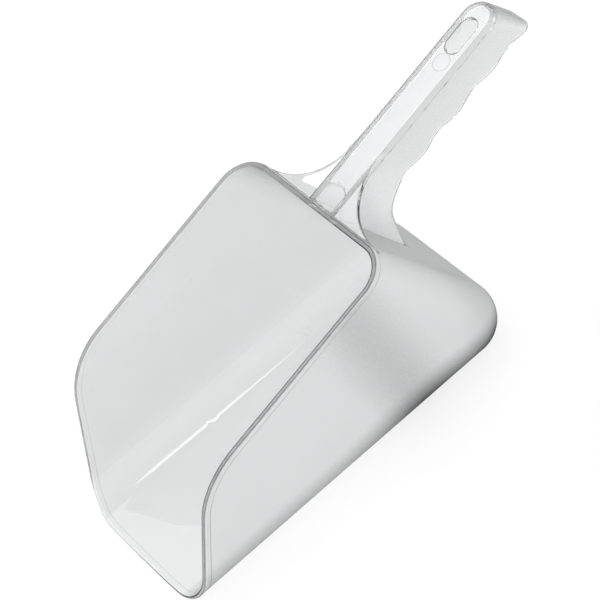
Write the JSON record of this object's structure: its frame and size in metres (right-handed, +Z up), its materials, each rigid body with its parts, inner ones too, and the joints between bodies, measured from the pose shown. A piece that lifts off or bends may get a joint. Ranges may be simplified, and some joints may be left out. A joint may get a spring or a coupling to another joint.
{
  "type": "feed scoop",
  "caption": "Clear moulded plastic scoop with a deep flat-floored bowl, sloping rim, open front and a channel handle with finger scallops and a hang slot.",
  "frame": {"origin": "on the floor plane, at the middle of the width and of the whole length", "axes": "+Z up with the flat floor at rest, +Y back along the handle, lip towards -Y, +X to the side"},
  "size_m": [0.1234, 0.3104, 0.1496],
  "materials": {
    "clear": "clear, polished",
    "frosted": "clear, finely frosted outside"
  },
  "bodies": {
    "root": {"floor_panel": "frosted", "lip_edge": "clear", "back_floor_edge": "frosted", "back_wall": "frosted", "left_floor_edge": "frosted", "left_side_wall": "frosted", "left_back_corner": "frosted", "right_floor_edge": "frosted", "right_side_wall": "frosted", "right_back_corner": "frosted", "rim_back_bead": "clear", "left_rim_corner": "clear", "left_rim_rail": "clear", "left_front_edge": "clear", "right_rim_corner": "clear", "right_rim_rail": "clear", "right_front_edge": "clear", "handle_top_plate": "clear", "hang_slot_collar": "clear", "left_grip_web": "frosted", "left_neck_web": "frosted", "right_grip_web": "frosted", "right_neck_web": "frosted", "left_neck_gusset": "clear", "right_neck_gusset": "clear", "handle_end_wall": "frosted", "neck_cove": "clear"}
  },
  "joints": []
}
